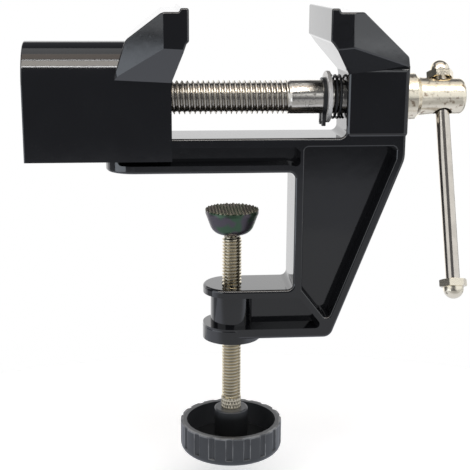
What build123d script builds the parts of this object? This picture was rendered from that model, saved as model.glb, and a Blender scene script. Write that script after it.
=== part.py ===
from build123d import *
import os
from math import atan2, ceil, cos, pi, radians, sin, sqrt

# Clamp-on bench vise: a die-cast body carries the fixed jaw and a C-shaped table clamp,
# and a screw with a sliding handle bar pulls the moving jaw along the body's beam.
# Millimetres. +X runs from the moving jaw to the handle, +Z is up. The origin is on the
# underside of the beam, which sits on the table, straight above the clamp screw.

# Body casting
frame_width = 17.4
beam_height = 10.1
beam_end = -37.0
rim = 2.6
seat_rim = 2.3
web_thickness = 5.0
pocket_draft = 2.5
pocket_corner = 1.3
nose_wall = 3.4
end_flat = 0.4
throat_wall = 17.6
throat_corner = 1.8
throat_rim = 2.6
partition_rib = 1.2
table_gap = 35.3
arm_height = 15.1
arm_top_flange = 2.4
arm_foot_flange = 3.0
back_wall = 49.7
back_corner_height = 3.7
back_foot = 29.1
foot_corner = 3.0
heel_corner = 7.0
corner_brace = 2.0
brace_foot = 28.2
edge_round = 0.8
pocket_rim_round = 0.5

# Clamp boss at the end of the lower arm
boss_radius = 6.4
boss_collar_radius = 8.8
boss_collar_height = 4.7
boss_collar_drop = 1.7
boss_round = 0.9

# Bearing block of the main screw
screw_height = 21.0
block_front = 32.2
block_back = 50.2
block_width = 18.0
block_rise = 9.3
block_corner = 1.4
block_round = 1.4
block_sink = 0.1
block_step = 3.6
block_foot_corner = 1.8

# Jaws
jaw_width = 40.0
jaw_face_height = 8.8
jaw_top = 25.9
lip_depth = 2.3
lip_step = 1.0
lip_slant = 0.3
jaw_edge_round = 0.6
round_floor = 9.0
flank_round = 1.2
fixed_face = 25.0
jaw_opening = 38.4
face_relief = 0.7
mold_mark_radius = 2.45
mold_mark_depth = 0.25
mold_mark_back = 3.6
mold_mark_height = 19.8

# Fixed jaw, measured back from its face and up from the screw
fixed_top_depth = 9.3
fixed_slope_depth = 24.4
fixed_slope_height = 12.2
fixed_back_depth = 25.2
fixed_side_depth = 6.5
fixed_side_base = 15.4
fixed_ridge_end = 9.3
fixed_under_depth = 7.2
fixed_under_height = 7.4
fixed_slope_round = 1.5
fixed_neck_round = 2.0

# Moving jaw, measured the same way
moving_top_depth = 7.2
moving_slope_depth = 17.2
moving_slope_height = 17.1
moving_back_depth = 21.0
moving_side_depth = 6.8
moving_side_base = 15.3
moving_ridge_end = 6.2
moving_under_depth = 4.6
moving_under_height = 5.3
moving_slope_round = 3.2
moving_neck_round = 4.0
slide_wall = 2.6
slide_clearance = 0.15
slide_length = 41.4
slide_top_rise = 16.1
slide_skirt_drop = 16.9
nut_length = 15.0
slide_end_round = 0.5

# Main screw
screw_radius = 4.92
screw_left_end = -40.0
screw_clearance = 0.08
bearing_clearance = 0.08
screw_tip_chamfer = 0.9
head_flange_radius = 6.75
head_flange_length = 3.2
head_cone_length = 1.3
head_neck_radius = 5.6
head_radius = 5.2
head_taper_length = 4.2
head_length = 18.1
head_round = 1.5
flange_round = 0.4
thrust_gap = 0.05

# Retaining ring in its groove, washer and spring on the shank
ring_left = 26.0
ring_thickness = 1.0
ring_inner_radius = 4.66
ring_band = 0.95
ring_slot = 2.0
ring_lug_width = 2.1
ring_lug_reach = 8.3
ring_lug_hole = 0.6
ring_lug_round = 0.6
groove_clearance = 0.04
washer_thickness = 1.2
washer_radius = 7.5
washer_gap = 0.1
washer_bore_clearance = 0.15
washer_chamfer = 0.15
spring_wire = 0.75
spring_radius = 6.15
spring_turns = 2.5
spring_gap = 0.1
spring_start_angle = 90
steps_per_turn = 4
gap_points_per_turn = 48
gap_decimals = 3

# Handle bar with its two cap nuts
bar_radius = 2.05
bar_hole_radius = 2.8
bar_hole_place = 61.85
bar_turn = 23.5
bar_free_length = 59.8
bar_thread_radius = 1.9
bar_thread_length = 2.4
bar_thread_wall = 0.02
nut_across_flats = 7.0
nut_sides = 6
nut_hex_height = 2.2
nut_dome_height = 3.4
nut_dome_radius = 2.9
nut_corner_break = 0.3
nut_face_radius = 3.4
nut_rest_gap = 0.12

# Table clamp
clamp_radius = 2.95
clamp_clearance = 0.06
clamp_tip_chamfer = 0.6
pad_radius = 7.95
pad_top_drop = 12.0
pad_height = 7.8
pad_rim_height = 0.7
pad_bowl_height = 3.9
pad_bowl_radius = 6.5
pad_foot_radius = 2.8
tooth_pitch = 1.35
tooth_depth = 0.75
tooth_turn = 45
ball_radius = 2.5
ball_drop = 4.3
socket_clearance = 0.12
socket_mouth_radius = 2.2
neck_radius = 1.5
neck_gap = 0.8
stud_stem_length = 9.0
stud_clearance = 0.06
stud_end_gap = 0.05
screw_above_knob = 54.9
screw_in_knob = 9.6
knurl_length = 3.6
knurl_relief = 0.12

# Knob of the table clamp
knob_radius = 15.7
knob_height = 9.4
knob_wall = 1.9
knob_floor = 2.2
knob_boss_radius = 5.2
knob_boss_rise = 4.0
knob_foot_round = 2.2
knob_rim_round = 0.5
knob_lobes = 18
knob_flute_radius = 1.3
knob_flute_depth = 0.55
knob_flute_foot = 2.2
knob_flute_turn = 3.5
knob_screw_wall = 0.02

overrun = 1.0
quarter_turn = 90
edge_middle = 0.5
least_sharp_angle = 8

# Places that follow from the sizes above
half_frame = frame_width / 2
half_jaw = jaw_width / 2
half_block = block_width / 2
pocket_depth = (frame_width - web_thickness) / 2
block_bottom = beam_height - block_sink
step_top = beam_height + block_step
arm_top = -table_gap
arm_bottom = -table_gap - arm_height
moving_face = fixed_face - jaw_opening
slide_front = moving_face - moving_under_depth
slide_back = slide_front - slide_length
slide_outer = half_frame + slide_clearance + slide_wall
slide_inner = half_frame + slide_clearance
slide_crown = screw_height + slide_top_rise
washer_left = ring_left + ring_thickness + washer_gap
spring_left = washer_left + washer_thickness + spring_gap
head_left = block_back + thrust_gap
pad_top = -pad_top_drop
ball_center = pad_top - ball_drop
pad_bottom = pad_top - pad_height
clamp_screw_top = pad_bottom - neck_gap
knob_boss_top = clamp_screw_top - screw_above_knob
knob_top = knob_boss_top - knob_boss_rise
knob_bottom = knob_top - knob_height
bar_axis = Plane(origin=(bar_hole_place, 0, screw_height), x_dir=(1, 0, 0),
                 z_dir=(0, sin(radians(bar_turn)), cos(radians(bar_turn))))


def sharp_edges(solid):
    """Edges of a solid where its faces meet at an angle that can be felt."""
    faces = solid.faces()
    sharp = []
    for edge in solid.edges():
        meeting = [face for face in faces if edge in face.edges()]
        normals = [face.normal_at(edge.position_at(edge_middle)) for face in meeting]
        if len(normals) > 1 and normals[0].get_angle(normals[-1]) > least_sharp_angle:
            sharp.append(edge)
    return sharp


def jaw_head(top_depth, slope_depth, slope_height, back_depth, side_depth, side_base,
             ridge_end, under_depth, under_height, neck_half, slope_round, neck_round):
    """One jaw's head: X runs back from the face, Z up from the screw.

    The side view is cut to the plan view, which tapers behind the flat sides, and two
    slanting planes under the flanks draw the head in to the width of its neck."""
    face_base = jaw_top - jaw_face_height
    body_top = jaw_top - lip_step
    with BuildPart() as head:
        with BuildSketch(Plane.XZ) as side_view:
            with BuildLine():
                Polyline(
                    (0, face_base),
                    (0, jaw_top),
                    (lip_depth, jaw_top),
                    (lip_depth + lip_slant, body_top),
                    (top_depth, body_top),
                    (slope_depth, slope_height),
                    (back_depth, under_height),
                    (back_depth, 0),
                    (under_depth, 0),
                    (under_depth, under_height),
                    (face_relief, face_base - face_relief),
                    close=True,
                )
            make_face()
            slope_ends = side_view.vertices().filter_by(
                lambda corner: corner.X > lip_depth + lip_slant and corner.Y > slope_height - overrun)
            fillet(slope_ends, radius=slope_round)
        extrude(amount=half_jaw, both=True)
        with BuildSketch(Plane.XY) as plan_view:
            with BuildLine():
                Polyline(
                    (0, half_jaw),
                    (side_depth, half_jaw),
                    (back_depth, neck_half),
                    (back_depth, -neck_half),
                    (side_depth, -half_jaw),
                    (0, -half_jaw),
                    close=True,
                )
            make_face()
            fillet(plan_view.vertices().sort_by(Axis.X)[-2:], radius=neck_round)
        extrude(amount=jaw_top + overrun, mode=Mode.INTERSECT)
        for side in (1, -1):
            start = Vector(side_depth, side * half_jaw, side_base)
            finish = Vector(back_depth, side * neck_half, ridge_end)
            foot = Vector(under_depth, side * neck_half, under_height)
            outward = (finish - start).cross(foot - start)
            if outward.Z > 0:
                outward = outward * -1
            split(bisect_by=Plane(origin=start, z_dir=outward), keep=Keep.BOTTOM)
        corners = head.edges().filter_by(Axis.Z).filter_by_position(
            Axis.X, side_depth - edge_round, side_depth + edge_round)
        fillet(corners, radius=flank_round)
        rounded = [edge for edge in sharp_edges(head.part)
                   if edge.bounding_box().min.Z > round_floor
                   and (edge.center().Z > side_base or edge.center().X > side_depth + edge_round)]
        fillet(rounded, radius=jaw_edge_round)
    return head.part


moving_head = mirror(jaw_head(
    moving_top_depth, moving_slope_depth, moving_slope_height, moving_back_depth,
    moving_side_depth, moving_side_base, moving_ridge_end, moving_under_depth,
    moving_under_height, slide_outer, moving_slope_round, moving_neck_round), about=Plane.YZ)
fixed_head = jaw_head(
    fixed_top_depth, fixed_slope_depth, fixed_slope_height, fixed_back_depth,
    fixed_side_depth, fixed_side_base, fixed_ridge_end, fixed_under_depth,
    fixed_under_height, half_block, fixed_slope_round, fixed_neck_round)

# Body casting: fixed jaw, bearing block, beam, C-shaped frame and clamp arm
slope_run = (back_wall - back_foot) / (back_corner_height - arm_bottom)
slope_rim = rim * sqrt(1 + slope_run * slope_run)
pocket_top = beam_height - rim
panel_left = throat_wall + throat_rim
beam_pocket_end = panel_left - partition_rib
corner_center = throat_wall - throat_corner
corner_sweep = throat_corner + seat_rim
corner_dip = -throat_corner + sqrt(corner_sweep ** 2 - (beam_pocket_end - corner_center) ** 2)
lower_pocket_top = arm_top - arm_top_flange
lower_pocket_bottom = arm_bottom + arm_foot_flange


def back_inside(height):
    """Place of the inner face of the slanting back rim at a height."""
    return min(back_wall - rim, back_wall - slope_rim + slope_run * (height - back_corner_height))


brace_top_height = arm_top
brace_foot_height = (brace_foot - back_wall + slope_rim) / slope_run + back_corner_height
brace_angle = atan2(brace_top_height - brace_foot_height, brace_foot - panel_left)
brace_shift = corner_brace / sin(brace_angle)


def brace_lower(height):
    """Place of the lower face of the corner brace at a height."""
    run = (brace_foot - panel_left) / (brace_top_height - brace_foot_height)
    return panel_left + run * (brace_top_height - height) - brace_shift


with BuildPart() as block:
    with BuildSketch(Plane.XZ) as block_view:
        with Locations((block_front, block_bottom)):
            Rectangle(block_back - block_front, screw_height + block_rise - block_bottom,
                      align=(Align.MIN, Align.MIN))
        fillet(block_view.vertices().group_by(Axis.Y)[0], radius=block_corner)
    extrude(amount=half_block, both=True)
    block_sides = block.faces().filter_by(Axis.Y)
    rims = [edge for edge in block_sides.edges() if edge.center().Z < screw_height + block_rise]
    fillet(rims, radius=block_round)
bearing_block = block.part

with BuildPart() as vise_body:
    # Side view of the beam, the C frame and the lower arm
    with BuildSketch(Plane.XZ) as frame_outline:
        with BuildLine():
            Polyline(
                (beam_end, 0),
                (throat_wall, 0),
                (throat_wall, arm_top),
                (-half_frame, arm_top),
                (-half_frame, arm_bottom),
                (back_foot, arm_bottom),
                (back_wall, back_corner_height),
                (back_wall, step_top),
                (block_front, step_top),
                (block_front, beam_height),
                (beam_end, beam_height),
                close=True,
            )
        make_face()
        outline_corners = frame_outline.vertices()
        throat_points = outline_corners.filter_by_position(
            Axis.X, throat_wall - edge_round, throat_wall + edge_round)
        fillet(throat_points, radius=throat_corner)
        fillet(frame_outline.vertices().sort_by_distance((back_foot, arm_bottom))[0],
               radius=foot_corner)
        fillet(frame_outline.vertices().sort_by_distance((back_wall, back_corner_height))[0],
               radius=heel_corner)
        fillet(frame_outline.vertices().sort_by_distance((block_front, beam_height))[0],
               radius=block_foot_corner)
    extrude(amount=half_frame, both=True)
    # Round ends of the beam and of the lower arm
    end_edges = vise_body.edges().filter_by(Axis.Z).group_by(Axis.X)
    fillet(end_edges[0] + end_edges[1], radius=half_frame - end_flat / 2)
    side_faces = vise_body.faces().filter_by(Axis.Y)
    fillet(side_faces.edges(), radius=edge_round)
    # Pockets that leave the rim, the partition rib and the corner brace, on both sides
    for side in (1, -1):
        with BuildSketch(Plane.XZ.offset(side * half_frame)) as pockets:
            with BuildLine():
                Line((beam_end + nose_wall, seat_rim), (corner_center, seat_rim))
                RadiusArc((corner_center, seat_rim), (beam_pocket_end, corner_dip), corner_sweep)
                Polyline((beam_pocket_end, corner_dip), (beam_pocket_end, pocket_top),
                         (beam_end + nose_wall, pocket_top), (beam_end + nose_wall, seat_rim))
            make_face()
            with BuildLine():
                Polyline(
                    (panel_left, pocket_top),
                    (back_wall - rim, pocket_top),
                    (back_wall - rim, back_corner_height),
                    (brace_foot, brace_foot_height),
                    (panel_left, brace_top_height),
                    close=True,
                )
            make_face()
            with BuildLine():
                Polyline(
                    (-half_frame, lower_pocket_top),
                    (brace_lower(lower_pocket_top), lower_pocket_top),
                    (brace_lower(lower_pocket_bottom), lower_pocket_bottom),
                    (-half_frame, lower_pocket_bottom),
                    close=True,
                )
            make_face()
            fillet(pockets.vertices(), radius=pocket_corner)
        extrude(amount=-side * pocket_depth, taper=pocket_draft, mode=Mode.SUBTRACT)
    pocket_rims = [edge for face in vise_body.faces().filter_by(Axis.Y)
                   for wire in face.inner_wires() for edge in wire.edges()]
    fillet(pocket_rims, radius=pocket_rim_round)
    # Clamp boss between the arm's two flanges, and the round collar under it
    with BuildSketch(Plane.XY.offset(lower_pocket_bottom)):
        Rectangle(half_frame + overrun, frame_width + 2 * overrun, align=(Align.MAX, Align.CENTER))
    extrude(amount=lower_pocket_top - lower_pocket_bottom, mode=Mode.SUBTRACT)
    with BuildSketch(Plane.XY.offset(lower_pocket_bottom)):
        Circle(boss_radius)
    extrude(amount=lower_pocket_top - lower_pocket_bottom)
    with BuildSketch(Plane.XZ):
        with BuildLine():
            collar_top = arm_bottom - boss_collar_drop + boss_collar_height
            Polyline((0, arm_bottom - boss_collar_drop), (0, collar_top),
                     (boss_collar_radius - boss_round, collar_top))
            RadiusArc((boss_collar_radius - boss_round, collar_top),
                      (boss_collar_radius, collar_top - boss_round), boss_round)
            Polyline((boss_collar_radius, collar_top - boss_round),
                     (boss_collar_radius, arm_bottom - boss_collar_drop),
                     (0, arm_bottom - boss_collar_drop))
        make_face()
    revolve(axis=Axis.Z)
    # Bearing block and jaw
    add(bearing_block)
    add(fixed_head.moved(Location((fixed_face, 0, screw_height))))
    # Bore of the main screw and tapped hole of the clamp screw
    with BuildSketch(Plane.YZ.offset(block_front - overrun)):
        with Locations((0, screw_height)):
            Circle(screw_radius + bearing_clearance)
    extrude(amount=block_back - block_front + 2 * overrun, mode=Mode.SUBTRACT)
    with BuildSketch(Plane.XY.offset(arm_top + overrun)):
        Circle(clamp_radius + clamp_clearance)
    extrude(amount=-arm_height - boss_collar_drop - 2 * overrun, mode=Mode.SUBTRACT)
    # Round mark of the mould on the near side of the jaw
    with BuildSketch(Plane.XZ.offset(half_jaw)):
        with Locations((fixed_face + mold_mark_back, screw_height + mold_mark_height)):
            Circle(mold_mark_radius)
    extrude(amount=-mold_mark_depth, mode=Mode.SUBTRACT)

vise_body.part.label = "vise_body"
os.makedirs("parts", exist_ok=True)
export_step(vise_body.part, "parts/vise_body.step")


# Moving jaw: its head on a hollow slide that straddles the beam
skirt_bottom = screw_height - slide_skirt_drop
slide_shoulder = slide_crown - slide_outer
with BuildPart() as moving_jaw:
    with BuildSketch(Plane.YZ.offset(slide_back)):
        with BuildLine():
            Line((-slide_outer, skirt_bottom), (slide_outer, skirt_bottom))
            Line((slide_outer, skirt_bottom), (slide_outer, slide_shoulder))
            ThreePointArc((slide_outer, slide_shoulder), (0, slide_crown),
                          (-slide_outer, slide_shoulder))
            Line((-slide_outer, slide_shoulder), (-slide_outer, skirt_bottom))
        make_face()
    extrude(amount=slide_length)
    rear_rim = moving_jaw.faces().sort_by(Axis.X)[0].edges().filter_by_position(
        Axis.Z, skirt_bottom + slide_end_round, slide_crown + overrun)
    fillet(rear_rim, radius=slide_end_round)
    add(moving_head.moved(Location((moving_face, 0, screw_height))))
    # Channel that rides on the beam under the tapped web
    with BuildSketch(Plane.YZ.offset(slide_back - overrun)):
        with Locations((0, skirt_bottom - overrun)):
            Rectangle(2 * slide_inner, beam_height + slide_clearance - skirt_bottom + overrun,
                      align=(Align.CENTER, Align.MIN))
    extrude(amount=slide_length + 2 * overrun, mode=Mode.SUBTRACT)
    # Hollow behind the tapped web
    with BuildSketch(Plane.YZ.offset(slide_back - overrun)):
        with BuildLine():
            Line((-slide_inner, skirt_bottom), (slide_inner, skirt_bottom))
            Line((slide_inner, skirt_bottom), (slide_inner, slide_shoulder))
            ThreePointArc((slide_inner, slide_shoulder), (0, slide_crown - slide_wall),
                          (-slide_inner, slide_shoulder))
            Line((-slide_inner, slide_shoulder), (-slide_inner, skirt_bottom))
        make_face()
    extrude(amount=slide_length - nut_length + overrun, mode=Mode.SUBTRACT)
    # Tapped hole of the main screw
    with BuildSketch(Plane.YZ.offset(slide_front + overrun)):
        with Locations((0, screw_height)):
            Circle(screw_radius + screw_clearance)
    extrude(amount=-nut_length - 2 * overrun, mode=Mode.SUBTRACT)

moving_jaw.part.label = "moving_jaw"
export_step(moving_jaw.part, "parts/moving_jaw.step")


# Main screw, turned about its own axis: X along the screw, Y the radius
head_end = head_left + head_length
cone_left = head_left + head_flange_length
taper_left = cone_left + head_cone_length
taper_right = taper_left + head_taper_length
groove_left = ring_left - groove_clearance
groove_right = ring_left + ring_thickness + groove_clearance
groove_radius = ring_inner_radius - groove_clearance
with BuildPart() as main_screw:
    with BuildSketch(Plane.XZ) as screw_profile:
        with BuildLine():
            Polyline(
                (screw_left_end, screw_height),
                (screw_left_end, screw_height + screw_radius - screw_tip_chamfer),
                (screw_left_end + screw_tip_chamfer, screw_height + screw_radius),
                (groove_left, screw_height + screw_radius),
                (groove_left, screw_height + groove_radius),
                (groove_right, screw_height + groove_radius),
                (groove_right, screw_height + screw_radius),
                (head_left, screw_height + screw_radius),
                (head_left, screw_height + head_flange_radius),
                (cone_left, screw_height + head_flange_radius),
                (taper_left, screw_height + head_neck_radius),
                (taper_right, screw_height + head_radius),
                (head_end, screw_height + head_radius),
                (head_end, screw_height),
                close=True,
            )
        make_face()
        profile_corners = screw_profile.vertices()
        fillet(profile_corners.sort_by_distance((head_end, screw_height + head_radius))[0],
               radius=head_round)
        flange_corners = profile_corners.sort_by_distance(
            ((head_left + cone_left) / 2, screw_height + head_flange_radius))[:2]
        fillet(flange_corners, radius=flange_round)
    revolve(axis=Axis((0, 0, screw_height), (1, 0, 0)))
    with BuildSketch(bar_axis.offset(-head_flange_radius)):
        Circle(bar_hole_radius)
    extrude(amount=2 * head_flange_radius, mode=Mode.SUBTRACT)

main_screw.part.label = "main_screw"
export_step(main_screw.part, "parts/main_screw.step")


# Retaining ring with two lugs, open at the bottom
ring_outer_radius = ring_inner_radius + ring_band
lug_center = (ring_slot + ring_lug_width) / 2
with BuildPart() as retaining_ring:
    with BuildSketch(Plane.YZ.offset(ring_left)):
        with Locations((0, screw_height)):
            Circle(ring_outer_radius)
        with Locations((lug_center, screw_height), (-lug_center, screw_height)):
            Rectangle(ring_lug_width, ring_lug_reach, align=(Align.CENTER, Align.MAX))
        with Locations((0, screw_height)):
            Circle(ring_inner_radius, mode=Mode.SUBTRACT)
            Rectangle(ring_slot, ring_lug_reach + overrun, align=(Align.CENTER, Align.MAX),
                      mode=Mode.SUBTRACT)
        lug_hole_height = screw_height - ring_lug_reach + ring_lug_width / 2
        with Locations((lug_center, lug_hole_height), (-lug_center, lug_hole_height)):
            Circle(ring_lug_hole, mode=Mode.SUBTRACT)
    extrude(amount=ring_thickness)
    lug_corners = retaining_ring.edges().filter_by(Axis.X).filter_by(GeomType.LINE)
    fillet(lug_corners.group_by(Axis.Z)[0], radius=ring_lug_round)

retaining_ring.part.label = "retaining_ring"
export_step(retaining_ring.part, "parts/retaining_ring.step")


with BuildPart() as thrust_washer:
    with BuildSketch(Plane.YZ.offset(washer_left)):
        with Locations((0, screw_height)):
            Circle(washer_radius)
            Circle(screw_radius + washer_bore_clearance, mode=Mode.SUBTRACT)
    extrude(amount=washer_thickness)
    rims = thrust_washer.edges().filter_by(GeomType.CIRCLE).sort_by(SortBy.RADIUS)[-2:]
    chamfer(rims, length=washer_chamfer)

thrust_washer.part.label = "thrust_washer"
export_step(thrust_washer.part, "parts/thrust_washer.step")


# Spring between the washer and the bearing block
spring_first = spring_left + spring_wire / 2
spring_last = block_front - spring_wire / 2
spring_rise = (spring_last - spring_first) / spring_turns


def coil_point(turn):
    """Point on the middle line of the spring after a number of turns."""
    angle = radians(spring_start_angle) + 2 * pi * turn
    return Vector(spring_first + spring_rise * turn, spring_radius * cos(angle),
                  screw_height + spring_radius * sin(angle))


def coil_direction(turn):
    """Unit direction of the middle line of the spring after a number of turns."""
    angle = radians(spring_start_angle) + 2 * pi * turn
    around = 2 * pi * spring_radius
    return Vector(spring_rise, -around * sin(angle), around * cos(angle)).normalized()


def least_coil_gap():
    """Least gap between neighbouring turns, measured on points of the middle line."""
    count = ceil(spring_turns * gap_points_per_turn)
    points = [coil_point(spring_turns * step / count) for step in range(count + 1)]
    apart = ceil(gap_points_per_turn / 2)
    least = min((points[i] - points[j]).length
                for i in range(len(points)) for j in range(i + apart, len(points)))
    return least - spring_wire


spring_steps = ceil(spring_turns * steps_per_turn)
with BuildPart() as screw_spring:
    with BuildLine() as spring_path:
        for step in range(spring_steps):
            near = step * spring_turns / spring_steps
            far = (step + 1) * spring_turns / spring_steps
            start, finish = coil_point(near), coil_point(far)
            leave, arrive = coil_direction(near), coil_direction(far)
            chord = finish - start
            bend = 2 * (1 - leave.dot(arrive))
            along = chord.dot(leave + arrive)
            reach = (sqrt(along ** 2 + bend * chord.dot(chord)) - along) / bend
            first_corner = start + leave * reach
            second_corner = finish - arrive * reach
            middle = (first_corner + second_corner) / 2
            TangentArc(start, middle, tangent=leave)
            TangentArc(middle, finish, tangent=second_corner - first_corner)
    with BuildSketch(Plane(origin=coil_point(0), z_dir=coil_direction(0))):
        Circle(spring_wire / 2)
    sweep(path=spring_path.line)

screw_spring.part.label = "screw_spring"
export_step(screw_spring.part, "parts/screw_spring.step")


# Handle bar, which has slid down in its hole until the upper nut rests on the head
nut_corner_radius = nut_across_flats / 2 / cos(pi / nut_sides)
bar_top = head_radius + nut_rest_gap
bar_bottom = bar_top - bar_free_length
with BuildPart() as handle_bar:
    with BuildSketch(bar_axis.offset(bar_bottom)):
        Circle(bar_radius)
    extrude(amount=bar_free_length)
    with BuildSketch(bar_axis.offset(bar_bottom - bar_thread_length)):
        Circle(bar_thread_radius)
    extrude(amount=bar_free_length + 2 * bar_thread_length)

handle_bar.part.label = "handle_bar"
export_step(handle_bar.part, "parts/handle_bar.step")


def cap_nut(seat):
    """Domed hexagon nut that opens at its seat plane and stands along the plane's normal."""
    dome_base = nut_hex_height + nut_dome_height - nut_dome_radius
    with BuildPart() as nut:
        with BuildSketch():
            RegularPolygon(nut_corner_radius, nut_sides)
        extrude(amount=nut_hex_height)
        with BuildSketch(Plane.XZ):
            with BuildLine():
                Polyline((0, 0), (nut_face_radius, 0),
                         (nut_corner_radius + nut_corner_break, nut_corner_break),
                         (nut_corner_radius + nut_corner_break, nut_hex_height - nut_corner_break),
                         (nut_face_radius, nut_hex_height), (0, nut_hex_height), (0, 0))
            make_face()
        revolve(axis=Axis.Z, mode=Mode.INTERSECT)
        with BuildSketch(Plane.XZ):
            with BuildLine():
                Polyline((0, dome_base + nut_dome_radius), (0, 0), (nut_dome_radius, 0),
                         (nut_dome_radius, dome_base))
                CenterArc((0, dome_base), nut_dome_radius, 0, quarter_turn)
            make_face()
        revolve(axis=Axis.Z)
        with BuildSketch():
            Circle(bar_thread_radius + bar_thread_wall)
        extrude(amount=bar_thread_length + bar_thread_wall, mode=Mode.SUBTRACT)
    return nut.part.moved(seat.location)


cap_nut_top = cap_nut(bar_axis.offset(bar_top))
cap_nut_top.label = "cap_nut_top"
export_step(cap_nut_top, "parts/cap_nut_top.step")

bottom_seat = bar_axis.offset(bar_bottom)
cap_nut_bottom = cap_nut(Plane(origin=bottom_seat.origin, x_dir=bottom_seat.x_dir,
                               z_dir=bottom_seat.z_dir * -1))
cap_nut_bottom.label = "cap_nut_bottom"
export_step(cap_nut_bottom, "parts/cap_nut_bottom.step")


# Table clamp: pad on a ball stud that turns in the end of the clamp screw
with BuildPart() as clamp_pad:
    with BuildSketch(Plane.XZ):
        with BuildLine():
            bowl_top = pad_top - tooth_depth - pad_rim_height
            bowl_foot = bowl_top - pad_bowl_height
            Polyline((0, pad_bottom), (0, pad_top), (pad_radius, pad_top),
                     (pad_radius, bowl_top), (pad_bowl_radius, bowl_foot))
            TangentArc((pad_bowl_radius, bowl_foot), (pad_foot_radius, pad_bottom),
                       tangent=(pad_bowl_radius - pad_radius, bowl_foot - bowl_top))
            Line((pad_foot_radius, pad_bottom), (0, pad_bottom))
        make_face()
    revolve(axis=Axis.Z)
    # Two sets of V grooves leave rows of pyramid teeth
    groove_count = ceil(2 * pad_radius / tooth_pitch) + 1
    for turn in (tooth_turn, tooth_turn + quarter_turn):
        groove_plane = Plane(origin=(0, 0, pad_top), z_dir=(cos(radians(turn)), sin(radians(turn)), 0),
                             x_dir=(-sin(radians(turn)), cos(radians(turn)), 0))
        with BuildSketch(groove_plane):
            with GridLocations(tooth_pitch, 0, groove_count, 1):
                Polygon((-tooth_pitch / 2, 0), (tooth_pitch / 2, 0), (0, -tooth_depth), align=None)
        extrude(amount=pad_radius + overrun, both=True, mode=Mode.SUBTRACT)
    with Locations((0, 0, ball_center)):
        Sphere(ball_radius + socket_clearance, mode=Mode.SUBTRACT)
    with BuildSketch(Plane.XY.offset(pad_bottom - overrun)):
        Circle(socket_mouth_radius)
    extrude(amount=ball_center - pad_bottom + overrun, mode=Mode.SUBTRACT)

clamp_pad.part.label = "clamp_pad"
export_step(clamp_pad.part, "parts/clamp_pad.step")


stud_foot = clamp_screw_top - stud_stem_length
with BuildPart() as ball_stud:
    with Locations((0, 0, ball_center)):
        Sphere(ball_radius)
    with BuildSketch(Plane.XY.offset(stud_foot)):
        Circle(neck_radius)
    extrude(amount=ball_center - stud_foot)

ball_stud.part.label = "ball_stud"
export_step(ball_stud.part, "parts/ball_stud.step")


clamp_screw_foot = knob_boss_top - screw_in_knob
with BuildPart() as clamp_screw:
    with BuildSketch(Plane.XY.offset(clamp_screw_foot)):
        Circle(clamp_radius)
    extrude(amount=clamp_screw_top - clamp_screw_foot)
    chamfer(clamp_screw.edges().sort_by(Axis.Z)[-1], length=clamp_tip_chamfer)
    with BuildSketch(Plane.XY.offset(knob_boss_top)):
        Circle(clamp_radius + knurl_relief)
    extrude(amount=knurl_length)
    with BuildSketch(Plane.XY.offset(stud_foot - stud_end_gap)):
        Circle(neck_radius + stud_clearance)
    extrude(amount=stud_stem_length + stud_end_gap + overrun, mode=Mode.SUBTRACT)

clamp_screw.part.label = "clamp_screw"
export_step(clamp_screw.part, "parts/clamp_screw.step")


# Cup-shaped knob with grip flutes, moulded on the foot of the clamp screw
with BuildPart() as clamp_knob:
    with BuildSketch(Plane.XY.offset(knob_bottom)):
        Circle(knob_radius)
    extrude(amount=knob_height)
    fillet(clamp_knob.edges().sort_by(Axis.Z)[0], radius=knob_foot_round)
    with BuildSketch(Plane.XY.offset(knob_bottom + knob_floor)):
        Circle(knob_radius - knob_wall)
    extrude(amount=knob_height, mode=Mode.SUBTRACT)
    with BuildSketch(Plane.XY.offset(knob_bottom + knob_flute_foot)):
        with PolarLocations(knob_radius - knob_flute_depth + knob_flute_radius, knob_lobes,
                            start_angle=knob_flute_turn):
            Circle(knob_flute_radius)
    extrude(amount=knob_height, mode=Mode.SUBTRACT)
    with BuildSketch(Plane.XY.offset(knob_bottom)):
        Circle(knob_boss_radius)
    extrude(amount=knob_boss_top - knob_bottom)
    boss_rim = clamp_knob.edges().filter_by(GeomType.CIRCLE).sort_by(Axis.Z)[-1]
    fillet(boss_rim, radius=knob_rim_round)
    with BuildSketch(Plane.XY.offset(clamp_screw_foot - knob_screw_wall)):
        Circle(clamp_radius + knob_screw_wall)
    extrude(amount=screw_in_knob + overrun, mode=Mode.SUBTRACT)

clamp_knob.part.label = "clamp_knob"
export_step(clamp_knob.part, "parts/clamp_knob.step")

print("least gap between spring turns", round(least_coil_gap(), gap_decimals), "mm")
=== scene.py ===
from math import cos, floor, pi, radians, sin

import bmesh
import bpy
from bpy.props import FloatProperty, FloatVectorProperty, IntProperty, PointerProperty
from bpy.types import Operator, Panel, PropertyGroup
from mathutils import Matrix, Vector


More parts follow.
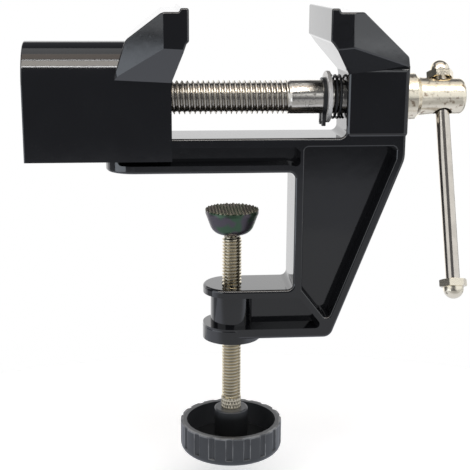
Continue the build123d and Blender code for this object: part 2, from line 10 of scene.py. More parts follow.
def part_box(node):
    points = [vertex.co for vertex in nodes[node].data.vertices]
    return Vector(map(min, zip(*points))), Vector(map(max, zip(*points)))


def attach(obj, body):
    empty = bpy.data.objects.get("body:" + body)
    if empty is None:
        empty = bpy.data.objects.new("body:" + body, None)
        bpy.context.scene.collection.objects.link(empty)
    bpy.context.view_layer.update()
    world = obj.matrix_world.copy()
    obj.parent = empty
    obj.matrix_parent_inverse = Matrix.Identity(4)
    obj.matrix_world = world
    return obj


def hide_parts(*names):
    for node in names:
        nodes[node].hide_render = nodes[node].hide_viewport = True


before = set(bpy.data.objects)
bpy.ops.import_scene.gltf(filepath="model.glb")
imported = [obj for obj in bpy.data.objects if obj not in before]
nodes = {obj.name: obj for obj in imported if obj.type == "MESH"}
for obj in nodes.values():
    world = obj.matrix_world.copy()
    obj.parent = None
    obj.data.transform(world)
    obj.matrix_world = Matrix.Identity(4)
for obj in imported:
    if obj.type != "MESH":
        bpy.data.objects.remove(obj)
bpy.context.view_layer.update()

bl_info = {
    "name": "Clamp-on bench vise",
    "version": (1, 0, 0),
    "blender": (4, 5, 0),
    "location": "View3D > Sidebar > Vise",
    "description": "Dresses the packed vise with threads, teeth, paint, steel and a studio",
    "category": "Object",
}

# Sizes of the solids that the frame doesn't give, in metres and radians
MAIN_CREST = 0.00492
MAIN_TIP = 0.0009
CLAMP_CREST = 0.00295
CLAMP_TIP = 0.0006
SPRING_WIRE = 0.000375
SPRING_TURNS = 2.5
BAR_LEAN = radians(23.5)
KNOB_FLUTES = 18
FLUTE_TURN = radians(3.5)
FLUTE_EDGE_COSINE = 0.37
FLUTE_FOOT = 0.0022
KNOB_RIM_DROP = 0.0042

# Shares of a thread's pitch that are flat at its crest and at its root
CREST_SHARE = 0.16
ROOT_SHARE = 0.22

# Faces that meet at more than this angle stay sharp
SHARP_ANGLE = radians(32)
# Points closer together than this become one
MERGE_DISTANCE = 0.000001
THREAD_MERGE_DISTANCE = 0.0000002

FLOOR_RADIUS = 0.24
FLOOR_CENTRE = (0.0, -0.12)
SENSOR_WIDTH = 36.0
STUDIO_CENTRE = Vector((0, 0, -0.02))
WARM = (1.0, 0.94, 0.86)
BROWN = (1.0, 0.86, 0.74)
COOL = (0.94, 0.97, 1.0)
BLUE = (0.84, 0.91, 1.0)
PALE = (0.98, 0.98, 1.0)
WHITE = (1.0, 1.0, 1.0)

# Each soft light's azimuth from the front, elevation, distance, width, height, radiance, tint
LIGHTS = {
    "front_softbox": (0, 59.5, 1.0, 2.2, 0.27, 3.2, WARM),
    "front_strip_low": (0, 49.5, 1.0, 1.5, 0.045, 10.0, WHITE),
    "front_strip_high": (0, 69, 1.0, 1.5, 0.022, 9.0, WHITE),
    "front_upper": (0, 80, 1.0, 1.8, 0.3, 1.0, BROWN),
    "left_wall": (-62, 20, 1.0, 0.85, 0.72, 0.85, COOL),
    "left_wall_low": (-62, -13, 1.0, 0.85, 0.44, 1.5, BLUE),
    "left_back_wall": (-128, 10, 1.0, 0.4, 1.2, 0.6, WHITE),
    "right_wall": (68, 22, 1.0, 2.9, 0.86, 0.85, COOL),
    "right_wall_low": (75, -12, 1.0, 2.4, 0.42, 0.4, COOL),
    "back_fill": (184, 0, 1.4, 2.6, 1.4, 0.24, PALE),
    "ceiling": (180, 80, 1.2, 1.6, 0.5, 0.6, WHITE),
}


# Sizes and colours that a user would change

class ThreadSizes(PropertyGroup):
    main_pitch: FloatProperty(
        name="Main pitch", description="Rise of the main screw's thread in one turn",
        default=0.0015, unit="LENGTH", precision=5)
    main_depth: FloatProperty(
        name="Main depth", description="Depth of the main screw's thread",
        default=0.00078, unit="LENGTH", precision=5)
    main_end: FloatProperty(
        name="Main thread end", description="Place along X where the main thread runs out",
        default=0.0168, unit="LENGTH", precision=5)
    clamp_pitch: FloatProperty(
        name="Clamp pitch", description="Rise of the clamp screw's thread in one turn",
        default=0.001, unit="LENGTH", precision=5)
    clamp_depth: FloatProperty(
        name="Clamp depth", description="Depth of the clamp screw's thread",
        default=0.00058, unit="LENGTH", precision=5)
    knurl_height: FloatProperty(
        name="Knurl height", description="Length of the knurled band above the knob",
        default=0.0036, unit="LENGTH", precision=5)
    steps: IntProperty(
        name="Steps in a turn", description="Steps round one turn of a thread", default=56, min=16)


class CoatColours(PropertyGroup):
    paint: FloatVectorProperty(
        name="Paint", description="Black gloss paint of the castings",
        default=(0.0032, 0.0034, 0.0042), subtype="COLOR", size=3)
    steel: FloatVectorProperty(
        name="Turned steel", description="Bright steel of the screws",
        default=(0.74, 0.70, 0.635), subtype="COLOR", size=3)
    head_steel: FloatVectorProperty(
        name="Head steel", description="Pale steel of the main screw's head and the cap nuts",
        default=(0.93, 0.85, 0.69), subtype="COLOR", size=3)
    clamp_steel: FloatVectorProperty(
        name="Clamp screw steel", description="Warm steel of the clamp screw",
        default=(0.72, 0.65, 0.50), subtype="COLOR", size=3)
    plating: FloatVectorProperty(
        name="Plating", description="Nickel plating of the washer",
        default=(0.78, 0.765, 0.74), subtype="COLOR", size=3)
    bar_steel: FloatVectorProperty(
        name="Bar steel", description="Warm nickel plating of the handle bar",
        default=(0.71, 0.65, 0.57), subtype="COLOR", size=3)
    blackened: FloatVectorProperty(
        name="Blackened steel", description="Blackened steel of the spring and the retaining ring",
        default=(0.02, 0.021, 0.023), subtype="COLOR", size=3)
    pad: FloatVectorProperty(
        name="Clamp pad", description="Oil-blackened clamp pad",
        default=(0.088, 0.102, 0.09), subtype="COLOR", size=3)
    plastic: FloatVectorProperty(
        name="Knob plastic", description="Moulded plastic of the knob",
        default=(0.03, 0.032, 0.035), subtype="COLOR", size=3)
    # This colour is a painted highlight on the edges of the knob's flutes and its rim
    plastic_highlight: FloatVectorProperty(
        name="Rubbed plastic", description="Pale edges of the knob's flutes",
        default=(0.24, 0.245, 0.25), subtype="COLOR", size=3)


class StudioSizes(PropertyGroup):
    floor_drop: FloatProperty(
        name="Floor drop", description="Room under the knob for the clamp's travel",
        default=0.0145, unit="LENGTH", precision=4)
    lens: FloatProperty(
        name="Lens", description="Focal length on a 36 mm wide sensor",
        default=80.68, subtype="NONE")
    camera_place: FloatVectorProperty(
        name="Camera place", description="Where the photograph was taken from",
        default=(-0.02597, -0.30532, 0.05668), subtype="TRANSLATION", size=3)
    camera_turn: FloatVectorProperty(
        name="Camera turn", description="Yaw to the right, pitch down and roll",
        default=(radians(5.035), radians(14.105), radians(0.327)), subtype="EULER", size=3)


# Shader maths: a Channel is one shader value that Python operators combine

class Channel:
    def __init__(self, coat, socket):
        self.coat = coat
        self.socket = socket

    def math(self, operation, *others):
        node = self.coat.tree.nodes.new("ShaderNodeMath")
        node.operation = operation
        for place, value in enumerate((self, *others)):
            self.coat.feed(node.inputs[place], value)
        return Channel(self.coat, node.outputs[0])

    def __add__(self, other):
        return self.math("ADD", other)

    def __sub__(self, other):
        return self.math("SUBTRACT", other)

    def __mul__(self, other):
        return self.math("MULTIPLY", other)

    def __truediv__(self, other):
        return self.math("DIVIDE", other)

    def __neg__(self):
        return self.math("MULTIPLY", -1.0)

    def __rsub__(self, other):
        return (-self).math("ADD", other)

    __radd__ = __add__

    def sine(self):
        return self.math("SINE")

    def size(self):
        return self.math("ABSOLUTE")

    def root(self):
        return self.math("SQRT")

    def wave(self, spacing):
        """Rises and falls between 0 and 1 once in each spacing."""
        return (self * (2 * pi / spacing)).sine() * 0.5 + 0.5

    def between(self, low, high):
        """0 at low, 1 at high, smooth between them."""
        node = self.coat.make("ShaderNodeMapRange", {
            "Value": self, "From Min": low, "From Max": high}, interpolation_type="SMOOTHSTEP")
        return Channel(self.coat, node.outputs[0])

    def mix(self, low, high):
        """One colour or value where this is 0, and the other where it is 1."""
        node = self.coat.make("ShaderNodeMix", {}, data_type="RGBA")
        self.coat.feed(node.inputs["Factor"], self)
        self.coat.feed(node.inputs[6], low)
        self.coat.feed(node.inputs[7], high)
        return Channel(self.coat, node.outputs[2])


class Tree:
    """A node tree that is built node by node."""

    def __init__(self, tree):
        self.tree = tree

    def feed(self, socket, value):
        if isinstance(value, Channel):
            self.tree.links.new(value.socket, socket)
        elif isinstance(value, bpy.types.NodeSocket):
            self.tree.links.new(value, socket)
        elif hasattr(value, "__len__") and len(value) == 3 and socket.type == "RGBA":
            socket.default_value = (*value, 1.0)
        else:
            socket.default_value = value

    def make(self, kind, inputs, **settings):
        node = self.tree.nodes.new(kind)
        for name, value in settings.items():
            setattr(node, name, value)
        for name, value in inputs.items():
            self.feed(node.inputs[name], value)
        return node


class Coat(Tree):
    """One material with a single surface shader."""

    def __init__(self, name):
        self.material = bpy.data.materials.new(name)
        self.material.use_nodes = True
        super().__init__(self.material.node_tree)
        self.tree.nodes.clear()
        self.surface = self.make("ShaderNodeBsdfPrincipled", {})
        output = self.make("ShaderNodeOutputMaterial", {})
        self.tree.links.new(self.surface.outputs[0], output.inputs["Surface"])
        self.place = self.make("ShaderNodeTexCoord", {}).outputs["Object"]

    def axes(self, centre=(0.0, 0.0, 0.0)):
        """The three object coordinates, measured from a centre."""
        centred = self.make("ShaderNodeMapping", {
            "Vector": self.place, "Location": tuple(-value for value in centre)})
        split = self.make("ShaderNodeSeparateXYZ", {"Vector": centred.outputs[0]})
        return [Channel(self, socket) for socket in split.outputs]

    def noise(self, grain, detail=2.0):
        """Cloudy variation round 0.5 with features about one grain across."""
        scaled = self.make("ShaderNodeMapping", {
            "Vector": self.place, "Scale": (1.0 / grain, 1.0 / grain, 1.0 / grain)})
        node = self.make("ShaderNodeTexNoise", {
            "Vector": scaled.outputs[0], "Scale": 1.0, "Detail": detail})
        return Channel(self, node.outputs["Fac"])

    def cells(self, grain):
        """Distance to the nearest of many scattered points, in grains."""
        scaled = self.make("ShaderNodeMapping", {
            "Vector": self.place, "Scale": (1.0 / grain, 1.0 / grain, 1.0 / grain)})
        node = self.make("ShaderNodeTexVoronoi", {"Vector": scaled.outputs[0], "Scale": 1.0})
        return Channel(self, node.outputs["Distance"])

    def relief(self, height, depth):
        """Bumps the surface by a height between 0 and 1 times a depth in metres."""
        bump = self.make("ShaderNodeBump", {
            "Height": height, "Distance": depth, "Strength": 1.0})
        self.feed(self.surface.inputs["Normal"], bump.outputs[0])

    def set(self, **inputs):
        for name, value in inputs.items():
            self.feed(self.surface.inputs[name.replace("_", " ")], value)
        return self.material


class Maker(Tree):
    """A geometry node tree with named inputs that makes one mesh."""

    def __init__(self, name, **sizes):
        super().__init__(bpy.data.node_groups.new(name, "GeometryNodeTree"))
        self.name = name
        self.sizes = sizes
        for size, value in sizes.items():
            kind = "NodeSocketInt" if isinstance(value, int) else "NodeSocketFloat"
            self.tree.interface.new_socket(size, in_out="INPUT", socket_type=kind)
        self.tree.interface.new_socket(
            "Material", in_out="INPUT", socket_type="NodeSocketMaterial")
        self.tree.interface.new_socket("Mesh", in_out="OUTPUT", socket_type="NodeSocketGeometry")
        self.given = self.make("NodeGroupInput", {}).outputs

    def size(self, name):
        return Channel(self, self.given[name])

    def mesh(self, shape, material):
        """Ends the tree with a shape, runs it once and gives its plain mesh."""
        whole = self.make("GeometryNodeRealizeInstances", {"Geometry": shape})
        coated = self.make("GeometryNodeSetMaterial", {
            "Geometry": whole.outputs[0], "Material": self.given["Material"]})
        self.make("NodeGroupOutput", {"Mesh": coated.outputs[0]})
        carrier = bpy.data.objects.new(self.name, bpy.data.meshes.new(self.name))
        bpy.context.scene.collection.objects.link(carrier)
        modifier = carrier.modifiers.new(self.name, "NODES")
        modifier.node_group = self.tree
        values = {**self.sizes, "Material": material}
        for item in self.tree.interface.items_tree:
            if item.in_out == "INPUT":
                modifier[item.identifier] = values[item.name]
        finished = carrier.evaluated_get(bpy.context.evaluated_depsgraph_get())
        mesh = bpy.data.meshes.new_from_object(finished)
        bpy.data.objects.remove(carrier)
        return mesh


# Materials

def scaled_colour(colour, factor):
    return tuple(value * factor for value in colour)


def gloss_paint(name, colour):
    """Thick gloss paint on a rough casting: long waves, orange peel and a little grit."""
    coat = Coat(name)
    waves = coat.noise(0.0042, 1.0)
    skin = coat.noise(0.0009, 2.0)
    grit = coat.cells(0.0016).between(0.16, 0.05)
    coat.relief(waves * 0.8 + skin * 0.12 + grit * 0.05, 0.000012)
    haze = coat.noise(0.009, 3.0)
    return coat.set(
        Base_Color=haze.mix(colour, scaled_colour(colour, 1.35)),
        Roughness=0.04 + haze * 0.08 + grit * 0.1,
        IOR=1.8)


def turned_steel(name, colour, axis, roughness, ring=0.00022, painted_root_shade=None):
    """Steel turned on a lathe: fine rings along an axis, faint stains, painted shade in the thread
    roots.
    """
    coat = Coat(name)
    across, deep, high = coat.axes()
    along = across * axis[0] + deep * axis[1] + high * axis[2]
    wandering = along + coat.noise(0.0015) * 0.0004
    coat.relief(along.wave(ring) * 0.5 + wandering.wave(ring * 3.7) * 0.5, 0.0000018)
    stain = coat.noise(0.004, 3.0)
    shade = stain.between(0.35, 0.75).mix(colour, scaled_colour(colour, 0.86))
    if painted_root_shade:
        # Painted shade: the colour is darker in the roots of the thread
        root = (across * across + deep * deep).root().between(*painted_root_shade)
        shade = (root * 0.6).mix(shade, scaled_colour(colour, 0.3))
    return coat.set(
        Base_Color=shade,
        Metallic=1.0,
        Roughness=roughness + stain * 0.08)


def screw_steel(name, colour, head_colour, shank_start, head_start, screw_height):
    """Turned steel: a duller thread with painted shade in its roots, a stained shank and a paler
    head.
    """
    coat = Coat(name)
    along = coat.axes()[0]
    coat.relief(along.wave(0.00022), 0.000001)
    on_thread = along.between(shank_start + 0.0004, shank_start - 0.0004)
    at_head = along.between(head_start, head_start + 0.001)
    stain = coat.noise(0.004, 3.0)
    speck = coat.noise(0.0005, 2.0).between(0.5, 0.64) * stain.between(0.4, 0.6)
    speck = speck * (1.0 - at_head) * (1.0 - on_thread)
    deep, high = coat.axes((0.0, 0.0, screw_height))[1:]
    # Painted shade: the roots of the thread are darker in the colour
    painted_root_shade = (deep * deep + high * high).root().between(0.00475, 0.0043) * on_thread
    threaded = painted_root_shade.mix(colour, scaled_colour(colour, 0.62))
    spots = coat.noise(0.0016, 3.0).between(0.54, 0.68)
    stained = spots.mix(head_colour, (0.42, 0.33, 0.24))
    clean = at_head.mix(threaded, stained)
    return coat.set(
        Base_Color=(speck * 0.85).mix(clean, scaled_colour(colour, 0.35)),
        Metallic=1.0,
        Roughness=0.13 + on_thread * 0.07 + at_head * 0.09 + stain * 0.05 + speck * 0.15)


def plated_steel(name, colour, metallic, roughness):
    """Nickel plating with faint clouds."""
    coat = Coat(name)
    cloud = coat.noise(0.002, 2.0)
    coat.relief(coat.noise(0.0007, 2.0), 0.0000012)
    return coat.set(
        Base_Color=cloud.mix(colour, scaled_colour(colour, 0.92)),
        Metallic=metallic, Roughness=roughness + cloud * 0.08)


def blackened_steel(name, colour):
    """Oil-blackened spring steel with a fine grain."""
    coat = Coat(name)
    cloud = coat.noise(0.0012, 2.0)
    coat.relief(coat.noise(0.0004, 2.0), 0.000006)
    return coat.set(
        Base_Color=cloud.mix(colour, scaled_colour(colour, 1.8)),
        Metallic=0.3, Roughness=0.36 + cloud * 0.15)


def pad_steel(name, colour, painted_highlight_colour, top):
    """Blackened steel, mottled green and violet, with a painted highlight on the tips of the
    teeth.
    """
    coat = Coat(name)
    cloud = coat.noise(0.003, 3.0)
    tint = coat.noise(0.0045, 1.0).between(0.42, 0.58)
    coat.relief(coat.noise(0.0006, 3.0), 0.000015)
    red, green, blue = colour
    green_cast = (red * 0.72, green * 1.12, blue * 0.8)
    violet_cast = (red * 1.1, green * 0.84, blue * 1.12)
    mottled = tint.mix(green_cast, violet_cast)
    high = coat.axes((0.0, 0.0, top))[2]
    # Painted highlight: the tips of the teeth are paler in the colour
    tips = high.between(-0.0006, -0.0001) * (cloud * 0.5 + 0.6)
    return coat.set(
        Base_Color=tips.mix(mottled, painted_highlight_colour), Metallic=0.9, Roughness=0.3 + cloud * 0.14)


def moulded_plastic(name, colour, painted_highlight_colour, bottom, boss_top):
    """Satin plastic, with painted shade inside the cup and painted highlights on the edges of the
    flutes and on the rim.
    """
    coat = Coat(name)
    skin = coat.noise(0.00045, 2.0)
    flow = coat.noise(0.005, 2.0)
    across, deep, high = coat.axes((0.0, 0.0, boss_top))
    reach = (across * across + deep * deep).root()
    # Painted shade: the inside of the cup is darker in the colour
    painted_cup_shade = reach.between(0.0139, 0.0133) * high.between(-0.0006, -0.003)
    # This cosine is 1 along the middle of each flute
    turn = deep.math("ARCTAN2", across) * KNOB_FLUTES
    in_flute = (turn + (pi / 2 - KNOB_FLUTES * FLUTE_TURN)).sine()
    above_foot = coat.axes((0.0, 0.0, bottom + FLUTE_FOOT))[2]
    on_flank = above_foot.between(-0.0001, 0.0001)
    # Painted highlight: pale lines along the sides and feet of the flutes and round the rim,
    # broken up by noise
    sides = (in_flute - FLUTE_EDGE_COSINE).size().between(0.19, 0.02) * on_flank
    feet = above_foot.size().between(0.00024, 0.00002) * in_flute.between(0.3, 0.45)
    rim = (high + KNOB_RIM_DROP).size().between(0.0004, 0.0001)
    highlight_patches = skin * 0.5 + flow.between(0.4, 0.6) * 0.6
    edges = (sides + feet + rim).math("MINIMUM", 1.0) * highlight_patches * reach.between(0.0148, 0.015)
    coat.relief(skin * 0.7 + flow * 0.3, 0.00002)
    outside = flow.mix(colour, scaled_colour(colour, 1.3))
    shade = (painted_cup_shade * 0.8).mix(outside, (0.002, 0.002, 0.002))
    return coat.set(Base_Color=edges.mix(shade, painted_highlight_colour), Roughness=0.27 + flow * 0.1)


# Meshes

def new_piece(name, mesh, material, body, replaced):
    """Puts a mesh in the scene as a piece that rides on a body and stands for CAD nodes."""
    piece = bpy.data.objects.new(name, mesh)
    bpy.context.scene.collection.objects.link(piece)
    mesh.materials.clear()
    mesh.materials.append(material)
    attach(piece, body)
    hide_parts(*replaced)


def smooth_mesh(name, builder):
    """Turns a bmesh into a mesh with smooth faces and sharp edges between steep ones."""
    builder.normal_update()
    mesh = bpy.data.meshes.new(name)
    builder.to_mesh(mesh)
    builder.free()
    # Shading normals carried over from a CAD node would no longer fit the cut mesh
    if "custom_normal" in mesh.attributes:
        mesh.attributes.remove(mesh.attributes["custom_normal"])
    for face in mesh.polygons:
        face.use_smooth = True
    mesh.set_sharp_from_angle(angle=SHARP_ANGLE)
    return mesh


def merged(mesh):
    """A bmesh of a mesh with its loose triangles joined and its faces outward."""
    builder = bmesh.new()
    builder.from_mesh(mesh)
    bmesh.ops.remove_doubles(builder, verts=builder.verts, dist=MERGE_DISTANCE)
    bmesh.ops.recalc_face_normals(builder, faces=builder.faces)
    return builder


def thread_radius(along, share, start, end, crest, pitch, depth, run_out, tip):
    """Radius of a threaded rod at a place along it and a share of a turn round it."""
    phase = along / pitch - share
    phase -= floor(phase)
    from_crest = min(phase, 1 - phase) * 2
    flank = (from_crest - CREST_SHARE) / (1 - CREST_SHARE - ROOT_SHARE)
    cut = depth * min(1.0, max(0.0, flank))
    cut *= min(1.0, max(0.0, (end - along) / run_out))
    return min(crest - cut, crest - tip + (along - start))


def threaded_rod(start, end, crest, pitch, depth, run_out, tip, steps):
    """A right-hand threaded rod along +Z, open at its end and closed at its start."""
    stations = (-CREST_SHARE / 2, CREST_SHARE / 2, 0.5 - ROOT_SHARE / 2, 0.5 + ROOT_SHARE / 2)
    first, last = floor(start / pitch) - 2, floor(end / pitch) + 2
    places = [(turn + station) * pitch for turn in range(first, last) for station in stations]
    builder = bmesh.new()
    rows = []
    for step in range(steps):
        share = step / steps
        row = []
        for place in places:
            along = min(end, max(start, place + share * pitch))
            radius = thread_radius(along, share, start, end, crest, pitch, depth, run_out, tip)
            angle = 2 * pi * share
            row.append(builder.verts.new((radius * cos(angle), radius * sin(angle), along)))
        rows.append(row)
    count, shift = len(places), len(stations)
    for step in range(steps):
        near = rows[step]
        wraps = step + 1 == steps
        far = rows[0] if wraps else rows[step + 1]
        offset = shift if wraps else 0
        for index in range(count - 1 - offset):
            corners = (near[index], far[index + offset], far[index + offset + 1], near[index + 1])
            builder.faces.new(corners)
    bmesh.ops.remove_doubles(builder, verts=builder.verts, dist=THREAD_MERGE_DISTANCE)
    rim = [edge for edge in builder.edges
           if edge.is_boundary and max(v.co.z for v in edge.verts) < start + MERGE_DISTANCE]
    bmesh.ops.edgenet_fill(builder, edges=rim)
    bmesh.ops.recalc_face_normals(builder, faces=builder.faces)
    return builder


def coat_node(node, material):
    """Gives a CAD node one material in all its slots."""
    mesh = nodes[node].data
    if not mesh.materials:
        mesh.materials.append(material)
    for index in range(len(mesh.materials)):
        mesh.materials[index] = material


# Operators: one for each group of pieces

class VISE_OT_castings(Operator):
    """Paints the body and the moving jaw"""
    bl_idname = "vise.castings"
    bl_label = "Castings"

    def execute(self, context):
        paint = gloss_paint("black_gloss_paint", context.scene.vise_colours.paint)
        for node in ("vise_body", "moving_jaw"):
            coat_node(node, paint)
        return {"FINISHED"}


class VISE_OT_main_screw(Operator):
    """Cuts the main screw's thread and gives the screw its turned finish"""
    bl_idname = "vise.main_screw"
    bl_label = "Main screw"

    def execute(self, context):
        sizes = context.scene.vise_threads
        low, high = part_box("main_screw")
        height = (low.z + high.z) / 2
        rod = threaded_rod(low.x, sizes.main_end, MAIN_CREST, sizes.main_pitch, sizes.main_depth,
                           sizes.main_pitch, MAIN_TIP, sizes.steps)
        to_screw = Matrix(((0, 0, 1, 0), (1, 0, 0, 0), (0, 1, 0, height), (0, 0, 0, 1)))
        bmesh.ops.transform(rod, matrix=to_screw, verts=rod.verts)
        shank = merged(nodes["main_screw"].data)
        bmesh.ops.bisect_plane(
            shank, geom=shank.verts[:] + shank.edges[:] + shank.faces[:],
            plane_co=(sizes.main_end, 0, 0), plane_no=(1, 0, 0), clear_inner=True)
        scrap = bpy.data.meshes.new("scrap")
        shank.to_mesh(scrap)
        shank.free()
        rod.from_mesh(scrap)
        bpy.data.meshes.remove(scrap)
        colours = context.scene.vise_colours
        steel = screw_steel("turned_screw_steel", colours.steel, colours.head_steel,
                            sizes.main_end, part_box("vise_body")[1].x - 0.001, height)
        mesh = smooth_mesh("threaded_main_screw", rod)
        new_piece("threaded_main_screw", mesh, steel, "screw", ("main_screw",))
        return {"FINISHED"}


class VISE_OT_screw_fittings(Operator):
    """Winds the spring and finishes the retaining ring and the washer"""
    bl_idname = "vise.screw_fittings"
    bl_label = "Spring, ring and washer"

    def execute(self, context):
        colours = context.scene.vise_colours
        black = blackened_steel("blackened_spring_steel", colours.blackened)
        coat_node("retaining_ring", black)
        coat_node("thrust_washer", plated_steel("satin_washer", colours.plating, 0.45, 0.42))
        low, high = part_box("screw_spring")
        height = (low.z + high.z) / 2
        wire = SPRING_WIRE
        span = high.x - low.x - 2 * wire
        maker = Maker("wound_spring", Turns=SPRING_TURNS, Wire_radius=wire, Length=span,
                      Coil_radius=(high.z - low.z) / 2 - wire)
        coil = maker.make("GeometryNodeCurveSpiral", {
            "Resolution": 48, "Rotations": maker.size("Turns"), "Height": maker.size("Length"),
            "Start Radius": maker.size("Coil_radius"), "End Radius": maker.size("Coil_radius")})
        section = maker.make("GeometryNodeCurvePrimitiveCircle", {
            "Resolution": 16, "Radius": maker.size("Wire_radius")})
        tube = maker.make("GeometryNodeCurveToMesh", {
            "Curve": coil.outputs[0], "Profile Curve": section.outputs[0], "Fill Caps": True})
        mesh = maker.mesh(tube.outputs[0], black)
        mesh.transform(Matrix((
            (0, 0, 1, low.x + wire), (0, -1, 0, 0), (1, 0, 0, height), (0, 0, 0, 1))))
        mesh = smooth_mesh("wound_spring", merged(mesh))
        new_piece("wound_spring", mesh, black, "frame", ("screw_spring",))
        return {"FINISHED"}


class VISE_OT_handle(Operator):
    """Finishes the sliding handle bar and its cap nuts"""
    bl_idname = "vise.handle"
    bl_label = "Handle bar and cap nuts"

    def execute(self, context):
        colours = context.scene.vise_colours
        along_bar = (0.0, sin(BAR_LEAN), cos(BAR_LEAN))
        coat_node("handle_bar", turned_steel(
            "drawn_bar_steel", colours.bar_steel, along_bar, 0.08, ring=0.0009))
        coat_node("cap_nut_top", plated_steel("polished_cap_nut", colours.head_steel, 1.0, 0.12))
        coat_node("cap_nut_bottom", plated_steel("satin_cap_nut", colours.head_steel, 1.0, 0.2))
        return {"FINISHED"}


class VISE_OT_clamp_screw(Operator):
    """Cuts the clamp screw's thread and its knurled band"""
    bl_idname = "vise.clamp_screw"
    bl_label = "Clamp screw"

    def execute(self, context):
        sizes = context.scene.vise_threads
        low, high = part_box("clamp_screw")
        boss_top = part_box("clamp_knob")[1].z
        band_top = boss_top + sizes.knurl_height
        # The rod is cut from its top down, so it is built pointing down and turned over
        rod = threaded_rod(-high.z, -band_top, CLAMP_CREST, sizes.clamp_pitch, sizes.clamp_depth,
                           sizes.clamp_pitch * 0.4, CLAMP_TIP, sizes.steps)
        bmesh.ops.transform(rod, matrix=Matrix.Rotation(pi, 4, "X"), verts=rod.verts)
        steel = turned_steel("turned_clamp_steel", context.scene.vise_colours.clamp_steel,
                             (0.0, 0.0, 1.0), 0.2, painted_root_shade=(0.0026, 0.00238))
        band = self.knurled_band(boss_top - 0.0005, band_top, CLAMP_CREST, steel)
        rod.from_mesh(band)
        bpy.data.meshes.remove(band)
        mesh = smooth_mesh("threaded_clamp_screw", rod)
        new_piece("threaded_clamp_screw", mesh, steel, "clamp", ("clamp_screw",))
        coat_node("ball_stud", steel)
        return {"FINISHED"}

    def knurled_band(self, bottom, top, crest, steel):
        """A short cylinder with crossing grooves that leave diamonds."""
        maker = Maker("knurled_band", Radius=crest + 0.00012, Height=top - bottom,
                      Groove=0.00016, Teeth=20, Lean=2600.0)
        radius = maker.size("Radius")
        rod = maker.make("GeometryNodeMeshCylinder", {
            "Vertices": 120, "Side Segments": 20, "Radius": radius, "Depth": maker.size("Height")})
        place = maker.make("GeometryNodeInputPosition", {})
        split = maker.make("ShaderNodeSeparateXYZ", {"Vector": place.outputs[0]})
        across, deep, high = (Channel(maker, socket) for socket in split.outputs)
        turn = deep.math("ARCTAN2", across) * maker.size("Teeth")
        lean = high * maker.size("Lean")
        rising = ((turn + lean) * 0.5).sine().size()
        falling = ((turn - lean) * 0.5).sine().size()
        ridge = rising.math("MINIMUM", falling)
        bite = (1.0 - ridge * 1.4).math("MAXIMUM", 0.0) * maker.size("Groove")
        share = 1.0 - bite / radius
        cut = maker.make("ShaderNodeCombineXYZ", {
            "X": across * share, "Y": deep * share, "Z": high})
        band = maker.make("GeometryNodeSetPosition", {
            "Geometry": rod.outputs["Mesh"], "Position": cut.outputs[0]})
        mesh = maker.mesh(band.outputs[0], steel)
        mesh.transform(Matrix.Translation((0, 0, (bottom + top) / 2)))
        return mesh


class VISE_OT_clamp_pad(Operator):
    """Finishes the toothed clamp pad"""
    bl_idname = "vise.clamp_pad"
    bl_label = "Clamp pad"

    def execute(self, context):
        colours = context.scene.vise_colours
        coat_node("clamp_pad", pad_steel("blackened_pad_steel", colours.pad, colours.clamp_steel,
                                         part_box("clamp_pad")[1].z))
        return {"FINISHED"}


class VISE_OT_knob(Operator):
    """Finishes the moulded knob"""
    bl_idname = "vise.knob"
    bl_label = "Clamp knob"

    def execute(self, context):
        low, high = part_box("clamp_knob")
        colours = context.scene.vise_colours
        coat_node("clamp_knob", moulded_plastic(
            "satin_knob_plastic", colours.plastic, colours.plastic_highlight, low.z, high.z))
        return {"FINISHED"}


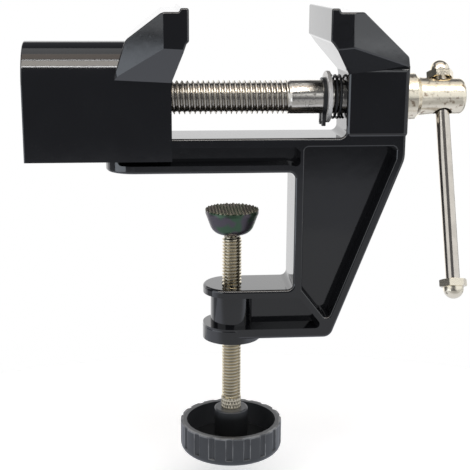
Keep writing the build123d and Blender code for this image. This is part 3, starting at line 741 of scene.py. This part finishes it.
class VISE_OT_studio(Operator):
    """Sets the floor, the lights and the camera of the photograph"""
    bl_idname = "vise.studio"
    bl_label = "Studio"

    def execute(self, context):
        scene = context.scene
        scene.view_settings.view_transform = "Standard"
        self.world(scene)
        self.floor()
        self.lights()
        self.camera(scene)
        return {"FINISHED"}

    def world(self, scene):
        """White to the camera, and the same white backdrop behind the vise in reflections."""
        world = bpy.data.worlds.new("studio_surroundings")
        world.use_nodes = True
        sky = Tree(world.node_tree)
        sky.tree.nodes.clear()
        path = sky.make("ShaderNodeLightPath", {}).outputs
        way = sky.make("ShaderNodeTexCoord", {}).outputs["Generated"]
        split = sky.make("ShaderNodeSeparateXYZ", {"Vector": way})
        back, high = Channel(sky, split.outputs[1]), Channel(sky, split.outputs[2])
        # The backdrop reaches 45 degrees to either side and 27 degrees up and down
        backdrop = back.between(0.66, 0.74) * high.size().between(0.48, 0.44)
        mirrored = Channel(sky, path["Is Glossy Ray"]).math("MAXIMUM", path["Is Transmission Ray"])
        seen = Channel(sky, path["Is Camera Ray"]).math("MAXIMUM", mirrored * backdrop)
        # The room is dark, and lighter from 10 degrees below the horizon down
        room = high.between(-0.166, -0.2).mix((0.112, 0.115, 0.128), (0.35, 0.36, 0.39))
        around = sky.make("ShaderNodeBackground", {"Color": room})
        white = sky.make("ShaderNodeBackground", {"Color": WHITE})
        mix = sky.make("ShaderNodeMixShader", {0: seen, 1: around.outputs[0], 2: white.outputs[0]})
        sky.make("ShaderNodeOutputWorld", {"Surface": mix.outputs[0]})
        scene.world = world

    def floor(self):
        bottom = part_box("clamp_knob")[0].z - bpy.context.scene.vise_studio.floor_drop
        builder = bmesh.new()
        bmesh.ops.create_circle(builder, segments=96, radius=FLOOR_RADIUS, cap_ends=True)
        bmesh.ops.translate(builder, vec=(*FLOOR_CENTRE, bottom), verts=builder.verts)
        mesh = bpy.data.meshes.new("floor")
        builder.to_mesh(mesh)
        builder.free()
        coat = Coat("white_floor")
        # White to the camera; in reflections a dimmer painted glow, with a painted pool of light
        # under the vise
        along = coat.axes()[1]
        glow = along.between(-0.14, -0.06).mix((0.34, 0.35, 0.37), (0.66, 0.69, 0.77))
        path = coat.make("ShaderNodeLightPath", {})
        seen = Channel(coat, path.outputs["Is Camera Ray"])
        mesh.materials.append(coat.set(
            Base_Color=seen.mix((0.03, 0.03, 0.03), (0.8, 0.8, 0.8)),
            Roughness=0.9,
            Emission_Color=seen.mix(glow, (0.45, 0.45, 0.45)), Emission_Strength=1.0))
        floor_piece = bpy.data.objects.new("floor", mesh)
        bpy.context.scene.collection.objects.link(floor_piece)

    def card(self, name, azimuth, elevation, distance, width, height, radiance, tint):
        """A soft light that faces the vise from a direction, with an even brightness."""
        turn, rise = radians(azimuth), radians(elevation)
        way = Vector((sin(turn) * cos(rise), -cos(turn) * cos(rise), sin(rise)))
        light = bpy.data.lights.new(name, "AREA")
        light.shape = "RECTANGLE"
        light.size, light.size_y = width, height
        light.energy = radiance * pi * width * height
        light.color = tint
        lamp = bpy.data.objects.new(name, light)
        lamp.location = STUDIO_CENTRE + way * distance
        lamp.rotation_euler = way.to_track_quat("Z", "Y").to_euler()
        lamp.visible_camera = False
        bpy.context.scene.collection.objects.link(lamp)

    def lights(self):
        for name, settings in LIGHTS.items():
            self.card(name, *settings)

    def camera(self, scene):
        sizes = scene.vise_studio
        yaw, pitch, roll = sizes.camera_turn
        ahead = Vector((sin(yaw) * cos(pitch), cos(yaw) * cos(pitch), -sin(pitch)))
        right = Vector((cos(yaw), -sin(yaw), 0))
        up = right.cross(ahead)
        rolled_right = right * cos(roll) + up * sin(roll)
        rolled_up = up * cos(roll) - right * sin(roll)
        lens = bpy.data.cameras.new("photo_camera")
        lens.lens = sizes.lens
        lens.sensor_width = SENSOR_WIDTH
        camera = bpy.data.objects.new("photo_camera", lens)
        turn = Matrix((rolled_right, rolled_up, -ahead)).transposed()
        camera.matrix_world = Matrix.Translation(sizes.camera_place) @ turn.to_4x4()
        scene.collection.objects.link(camera)
        scene.camera = camera


class VISE_PT_panel(Panel):
    """Lists the steps that dress the vise"""
    bl_label = "Bench vise"
    bl_idname = "VISE_PT_panel"
    bl_space_type = "VIEW_3D"
    bl_region_type = "UI"
    bl_category = "Vise"

    def draw(self, context):
        for step in STEPS:
            self.layout.operator(step.bl_idname)


STEPS = (VISE_OT_castings, VISE_OT_main_screw, VISE_OT_screw_fittings, VISE_OT_handle,
         VISE_OT_clamp_screw, VISE_OT_clamp_pad, VISE_OT_knob, VISE_OT_studio)
GROUPS = {"vise_threads": ThreadSizes, "vise_colours": CoatColours, "vise_studio": StudioSizes}


def register():
    for group in GROUPS.values():
        bpy.utils.register_class(group)
    for step in STEPS:
        bpy.utils.register_class(step)
    bpy.utils.register_class(VISE_PT_panel)
    for name, group in GROUPS.items():
        setattr(bpy.types.Scene, name, PointerProperty(type=group))


def unregister():
    for name in GROUPS:
        delattr(bpy.types.Scene, name)
    bpy.utils.unregister_class(VISE_PT_panel)
    for step in reversed(STEPS):
        bpy.utils.unregister_class(step)
    for group in reversed(tuple(GROUPS.values())):
        bpy.utils.unregister_class(group)


def main():
    register()
    bpy.ops.vise.castings()
    bpy.ops.vise.main_screw()
    bpy.ops.vise.screw_fittings()
    bpy.ops.vise.handle()
    bpy.ops.vise.clamp_screw()
    bpy.ops.vise.clamp_pad()
    bpy.ops.vise.knob()
    bpy.ops.vise.studio()


if __name__ == "__main__":
    main()
